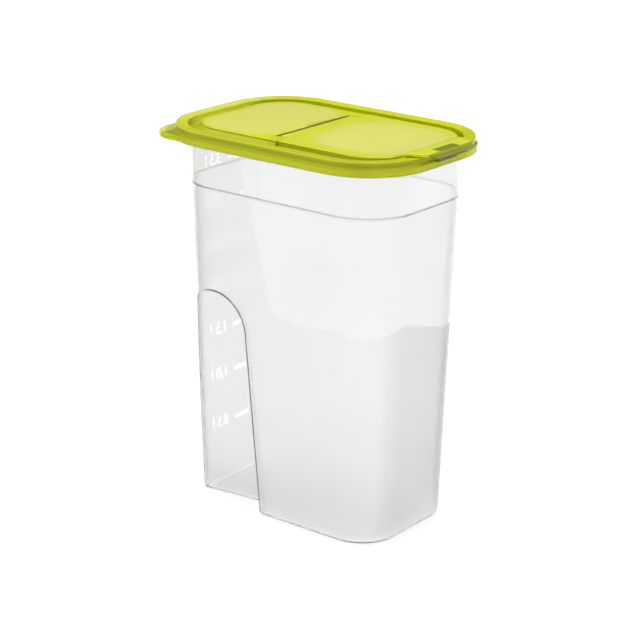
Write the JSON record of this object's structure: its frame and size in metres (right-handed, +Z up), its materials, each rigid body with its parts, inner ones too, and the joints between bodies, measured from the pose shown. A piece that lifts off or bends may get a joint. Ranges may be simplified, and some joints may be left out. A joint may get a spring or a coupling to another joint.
{
  "type": "cereal container with flip spout",
  "caption": "Tapered dry-food container with a grip recess on each side, a press-on lid and a hinged flap that closes the pouring opening at one end",
  "frame": {"origin": "middle of the base's flat face, between the two end walls", "axes": "+Z up, +X towards the spout end of the lid, -X towards the grip end, Y across the narrow width"},
  "size_m": [0.2011, 0.136, 0.2674],
  "materials": {
    "clear_plastic": "fine matte, translucent, with a polished band and polished grips",
    "lid_plastic": "gloss, translucent lime, with a fine matte rear panel",
    "flap_plastic": "gloss, translucent lime, with a fine matte middle"
  },
  "bodies": {
    "container": {"container": "clear_plastic"},
    "lid": {"lid": "lid_plastic"},
    "flap": {"flap": "flap_plastic"}
  },
  "joints": [
    {"name": "lid_lift", "type": "slide", "parent": "container", "child": "lid", "axis": [0, 0, 1], "range_m": [0, 0.03]},
    {"name": "flap_hinge", "type": "hinge", "parent": "lid", "child": "flap", "pos_m": [-0.0062, 0, 0.2629], "axis": [0, -1, 0], "range_deg": [0, 95]}
  ]
}
